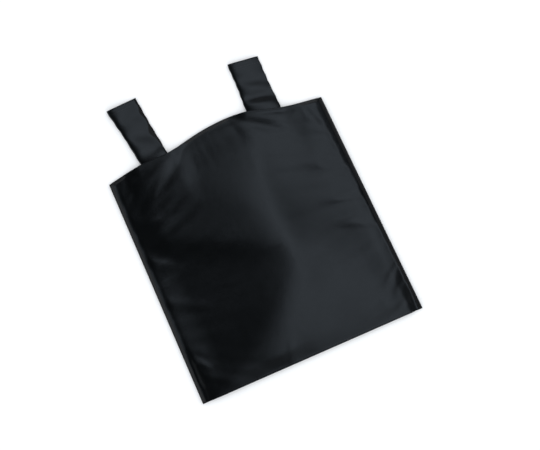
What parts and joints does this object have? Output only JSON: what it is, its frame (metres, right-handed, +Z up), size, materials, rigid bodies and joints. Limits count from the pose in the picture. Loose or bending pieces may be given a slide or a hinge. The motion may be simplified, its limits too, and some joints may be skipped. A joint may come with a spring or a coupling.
{
  "type": "film changing bag",
  "caption": "Light-tight black fabric bag lying flat, with a zipped mouth, a zipped lining bag inside it, and elastic-cuffed arm sleeves on the far edge.",
  "frame": {"origin": "middle of the bag's footprint as it lies flat, on the surface it lies on", "axes": "+X across the bag to the right, +Y from the zipped mouth to the arm sleeves, +Z up from the surface it lies on"},
  "size_m": [0.7, 0.906, 0.0308],
  "materials": {
    "nylon": "coated nylon cloth with a soft shine",
    "lining": "matt black cotton lining",
    "binding": "woven edge tape",
    "zip_tape": "matt woven tape",
    "zip_coil": "black nylon coil",
    "elastic": "ribbed elastic",
    "label": "blank white label tape",
    "zip_metal": "black painted die-cast metal"
  },
  "bodies": {
    "bag": {"outer_back_panel": "nylon", "outer_front_panel": "nylon", "lining_back_panel": "lining", "lining_front_panel": "lining", "left_side_binding": "binding", "right_side_binding": "binding", "arm_edge_binding_left": "binding", "arm_edge_binding_middle": "binding", "arm_edge_binding_right": "binding", "mouth_back_hem": "nylon", "mouth_front_hem": "nylon", "mouth_corner_tab_left": "nylon", "mouth_corner_tab_right": "nylon", "care_label": "label", "outer_zip_tape_back": "zip_tape", "outer_zip_tape_front": "zip_tape", "outer_zip_coil_back": "zip_coil", "outer_zip_coil_front": "zip_coil", "outer_zip_top_stop_back": "zip_metal", "outer_zip_top_stop_front": "zip_metal", "outer_zip_bottom_stop": "zip_metal", "inner_zip_tape_back": "zip_tape", "inner_zip_tape_front": "zip_tape", "inner_zip_coil_back": "zip_coil", "inner_zip_coil_front": "zip_coil", "inner_zip_top_stop_back": "zip_metal", "inner_zip_top_stop_front": "zip_metal", "inner_zip_bottom_stop": "zip_metal", "left_armhole_facing": "binding", "right_armhole_facing": "binding"},
    "outer_slider": {"outer_zip_slider": "zip_metal"},
    "outer_pull": {"outer_zip_pull_tab": "zip_metal"},
    "inner_slider": {"inner_zip_slider": "zip_metal"},
    "inner_pull": {"inner_zip_pull_tab": "zip_metal"},
    "left_sleeve": {"left_sleeve_shell": "nylon", "left_sleeve_lining": "lining", "left_cuff_elastic": "elastic", "left_cuff_hem": "nylon"},
    "right_sleeve": {"right_sleeve_shell": "nylon", "right_sleeve_lining": "lining", "right_cuff_elastic": "elastic", "right_cuff_hem": "nylon"}
  },
  "joints": [
    {"name": "outer_zip_slide", "type": "slide", "parent": "bag", "child": "outer_slider", "axis": [-1, 0, 0], "range_m": [0, 0.582]},
    {"name": "outer_pull_swing", "type": "hinge", "parent": "outer_slider", "child": "outer_pull", "pos_m": [0.291, -0.44955, 0.0068], "axis": [0, 0, 1], "range_deg": [0, 180]},
    {"name": "inner_zip_slide", "type": "slide", "parent": "bag", "child": "inner_slider", "axis": [-1, 0, 0], "range_m": [0, 0.557]},
    {"name": "inner_pull_swing", "type": "hinge", "parent": "inner_slider", "child": "inner_pull", "pos_m": [0.27852, -0.41578, 0.0067], "axis": [0, 0, 1], "range_deg": [0, 180]},
    {"name": "left_sleeve_fold", "type": "hinge", "parent": "bag", "child": "left_sleeve", "pos_m": [-0.198, 0.267, 0.0156], "axis": [1, 0, 0], "range_deg": [0, 160]},
    {"name": "right_sleeve_fold", "type": "hinge", "parent": "bag", "child": "right_sleeve", "pos_m": [0.1557, 0.2746, 0.0156], "axis": [0.9593, -0.2824, 0], "range_deg": [0, 160]}
  ]
}
